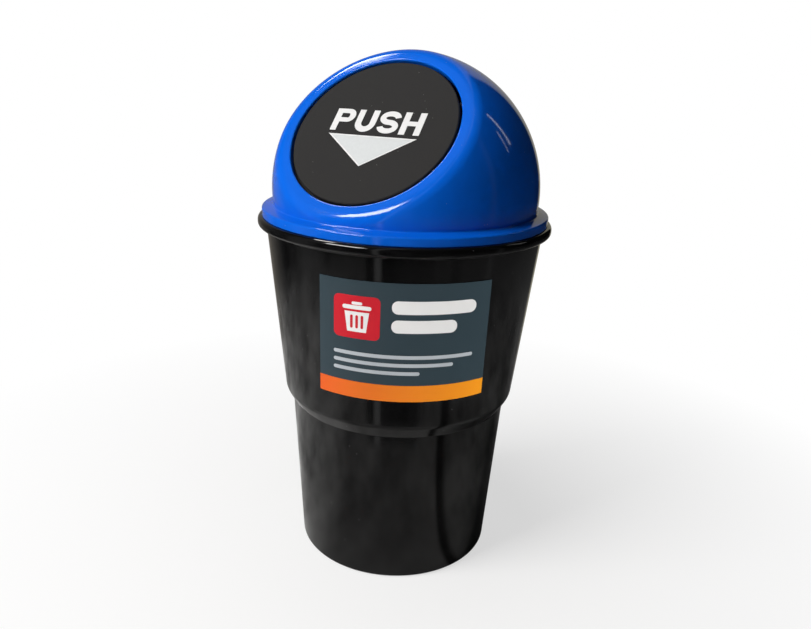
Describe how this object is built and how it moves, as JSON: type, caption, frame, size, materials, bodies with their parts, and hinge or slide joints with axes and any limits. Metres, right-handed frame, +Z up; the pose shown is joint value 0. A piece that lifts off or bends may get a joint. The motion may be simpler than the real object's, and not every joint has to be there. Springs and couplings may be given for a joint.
{
  "type": "car trash bin",
  "caption": "Cup-holder trash bin: a drafted cup with a step, a lift-off dome lid with a flat tilted face, and a round sprung flap in that face that is pushed in to drop litter.",
  "frame": {"origin": "centre of the foot, on the plane that the bin stands on", "axes": "+Z up along the cup's axis, the flap faces -Y, +X to the right of someone who faces the flap"},
  "size_m": [0.0936, 0.0936, 0.1651],
  "materials": {
    "cup_plastic": "gloss black, moulded",
    "lid_plastic": "gloss blue, moulded",
    "flap_plastic": "matte dark grey, moulded",
    "steel": "drawn wire",
    "label_film": "printed film, satin"
  },
  "bodies": {
    "bin": {"bin_body": "cup_plastic", "label": "label_film"},
    "lid": {"dome_lid": "lid_plastic", "hinge_pin": "steel", "torsion_spring": "steel"},
    "flap": {"push_flap": "flap_plastic"}
  },
  "joints": [
    {"name": "lid_lift", "type": "slide", "parent": "bin", "child": "lid", "axis": [0, 0, 1], "range_m": [0, 0.08]},
    {"name": "flap_push", "type": "hinge", "parent": "lid", "child": "flap", "pos_m": [0, -0.00854, 0.14989], "axis": [1, 0, 0], "range_deg": [0, 60], "stiffness_Nm_per_rad": 0.02, "springref_deg": -34.38, "deforming": ["torsion_spring"]}
  ]
}
